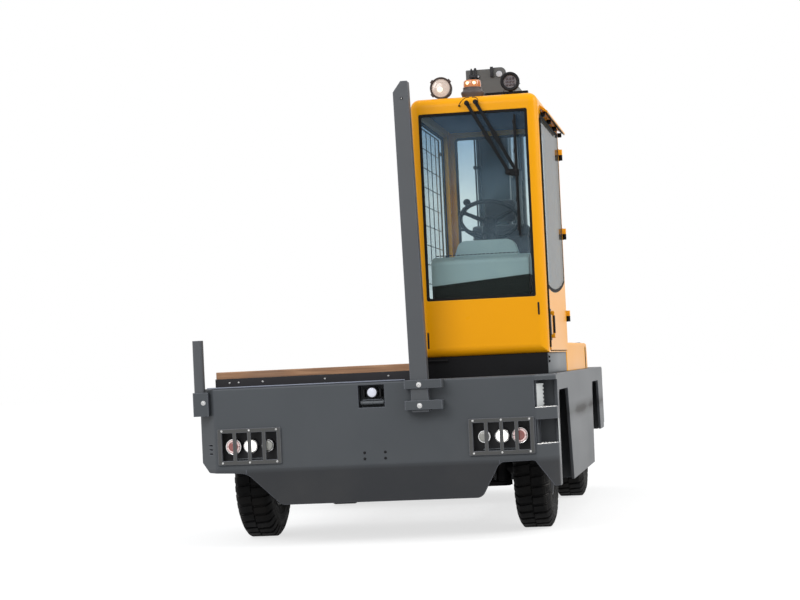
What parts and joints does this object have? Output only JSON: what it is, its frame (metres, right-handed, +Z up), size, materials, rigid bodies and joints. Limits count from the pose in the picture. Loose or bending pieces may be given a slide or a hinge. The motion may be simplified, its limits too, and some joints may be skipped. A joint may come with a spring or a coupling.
{
  "type": "side loader forklift",
  "caption": "Side loader forklift with a flat load deck, a reaching side mast and forks in a centre well, a narrow tall cab on one corner and four rubber-tyred wheels.",
  "frame": {"origin": "on the ground, under the middle of the truck's outline", "axes": "+Z up, -Y the way the truck drives, -X the load side, +X the cab side"},
  "size_m": [2.425, 5.234, 3.34],
  "materials": {
    "chassis_grey": "satin dark grey paint",
    "deck_grey": "worn grey paint",
    "cab_yellow": "orange yellow paint",
    "frame_black": "black paint",
    "bolster_wood": "rough brown timber",
    "tyre_rubber": "solid rubber",
    "rim_paint": "yellow paint",
    "window_glass": "tinted glass",
    "lamp_parts": "lamp lens and housing",
    "beacon_amber": "amber lens",
    "trim_plastic": "black plastic",
    "seat_fabric": "dark seat cover",
    "steel_bare": "machined steel",
    "engine_iron": "cast block",
    "fork_black": "black forged steel"
  },
  "bodies": {
    "chassis": {"axles": "frame_black", "beacon": "beacon_amber", "bolster_channels": "deck_grey", "bulkheads": "chassis_grey", "cab_base": "frame_black", "cab_glass": "window_glass", "cab_shell": "cab_yellow", "dashboard": "trim_plastic", "decks": "deck_grey", "door_brackets": "frame_black", "engine_block": "engine_iron", "front_panel": "chassis_grey", "front_sensor": "chassis_grey", "head_lamps": "lamp_parts", "hood_brackets": "chassis_grey", "lamp_guards": "chassis_grey", "load_posts": "chassis_grey", "main_beams": "chassis_grey", "post_brackets": "chassis_grey", "reach_rails": "chassis_grey", "rear_panel": "chassis_grey", "roof_hatch": "frame_black", "seat": "seat_fabric", "side_fairing": "cab_yellow", "side_panels": "chassis_grey", "side_tank": "chassis_grey", "steering_wheel": "trim_plastic", "steps": "chassis_grey", "tail_lamps": "lamp_parts", "tow_coupling": "chassis_grey", "wiper": "trim_plastic", "wood_bolsters": "bolster_wood", "work_lamps": "lamp_parts"},
    "front_wheel_load": {"tyre_front_load": "tyre_rubber", "rim_front_load": "rim_paint"},
    "front_wheel_cab": {"tyre_front_cab": "tyre_rubber", "rim_front_cab": "rim_paint"},
    "rear_wheel_load": {"tyre_rear_load": "tyre_rubber", "rim_rear_load": "rim_paint"},
    "rear_wheel_cab": {"tyre_rear_cab": "tyre_rubber", "rim_rear_cab": "rim_paint"},
    "steer_load": {"knuckle_load": "frame_black"},
    "steer_cab": {"knuckle_cab": "frame_black"},
    "steer_link": {"tie_rod": "frame_black"},
    "door": {"door_panel": "cab_yellow", "door_glass": "window_glass"},
    "engine_hood": {"hood": "cab_yellow"},
    "sled": {"mast_sled": "chassis_grey"},
    "mast_outer": {"outer_mast": "chassis_grey", "lift_barrels": "chassis_grey"},
    "mast_inner": {"inner_mast": "chassis_grey", "lift_rods": "steel_bare", "lift_chains": "steel_bare"},
    "carriage": {"fork_carriage": "chassis_grey", "forks": "fork_black"},
    "tilt_cylinders": {"tilt_barrels": "chassis_grey"},
    "tilt_pistons": {"tilt_rods": "steel_bare"}
  },
  "joints": [
    {"name": "steer_load_side", "type": "hinge", "parent": "chassis", "child": "steer_load", "pos_m": [-0.74, -1.6, 0.42], "axis": [0, 0, 1], "range_deg": [-35, 35]},
    {"name": "steer_cab_side", "type": "hinge", "parent": "chassis", "child": "steer_cab", "pos_m": [0.74, -1.6, 0.42], "axis": [0, 0, 1], "range_deg": [-36, 36]},
    {"name": "steer_link_slide", "type": "slide", "parent": "chassis", "child": "steer_link", "axis": [1, 0, 0], "range_m": [-0.1, 0.1]},
    {"name": "front_wheel_load_spin", "type": "hinge", "parent": "steer_load", "child": "front_wheel_load", "pos_m": [-0.965, -1.6, 0.42], "axis": [1, 0, 0], "continuous": true},
    {"name": "front_wheel_cab_spin", "type": "hinge", "parent": "steer_cab", "child": "front_wheel_cab", "pos_m": [0.965, -1.6, 0.42], "axis": [1, 0, 0], "continuous": true},
    {"name": "rear_wheel_load_spin", "type": "hinge", "parent": "chassis", "child": "rear_wheel_load", "pos_m": [-0.965, 1.42, 0.42], "axis": [1, 0, 0], "continuous": true},
    {"name": "rear_wheel_cab_spin", "type": "hinge", "parent": "chassis", "child": "rear_wheel_cab", "pos_m": [0.965, 1.42, 0.42], "axis": [1, 0, 0], "continuous": true},
    {"name": "door_swing", "type": "hinge", "parent": "chassis", "child": "door", "pos_m": [1.18, -0.799, 1.2], "axis": [0, 0, 1], "range_deg": [0, 85]},
    {"name": "hood_lift", "type": "hinge", "parent": "chassis", "child": "engine_hood", "pos_m": [0.6, 2.432, 1.084], "axis": [-1, 0, 0], "range_deg": [0, 50]},
    {"name": "reach", "type": "slide", "parent": "chassis", "child": "sled", "axis": [-1, 0, 0], "range_m": [0, 1.15]},
    {"name": "mast_tilt", "type": "hinge", "parent": "sled", "child": "mast_outer", "pos_m": [0.66, 0, 0.48], "axis": [0, 1, 0], "range_deg": [-3, 5]},
    {"name": "mast_lift", "type": "slide", "parent": "mast_outer", "child": "mast_inner", "axis": [0, 0, 1], "range_m": [0, 2]},
    {"name": "carriage_lift", "type": "slide", "parent": "mast_inner", "child": "carriage", "axis": [0, 0, 1], "range_m": [0, 2]},
    {"name": "tilt_cylinder_swing", "type": "hinge", "parent": "sled", "child": "tilt_cylinders", "pos_m": [0.93, 0, 0.53], "axis": [0, 1, 0], "range_deg": [-4, 6]},
    {"name": "tilt_cylinder_stroke", "type": "slide", "parent": "tilt_cylinders", "child": "tilt_pistons", "axis": [-0.1961, 0, 0.9806], "range_m": [-0.03, 0.03]}
  ],
  "couplings": [
    {"joint": "steer_cab_side", "follows": "steer_load_side", "ratio": 1},
    {"joint": "steer_link_slide", "follows": "steer_load_side", "m_per_rad": -0.15},
    {"joint": "carriage_lift", "follows": "mast_lift", "ratio": 1},
    {"joint": "tilt_cylinder_swing", "follows": "mast_tilt", "ratio": 0.99},
    {"joint": "tilt_cylinder_stroke", "follows": "mast_tilt", "m_per_rad": -0.2745}
  ]
}
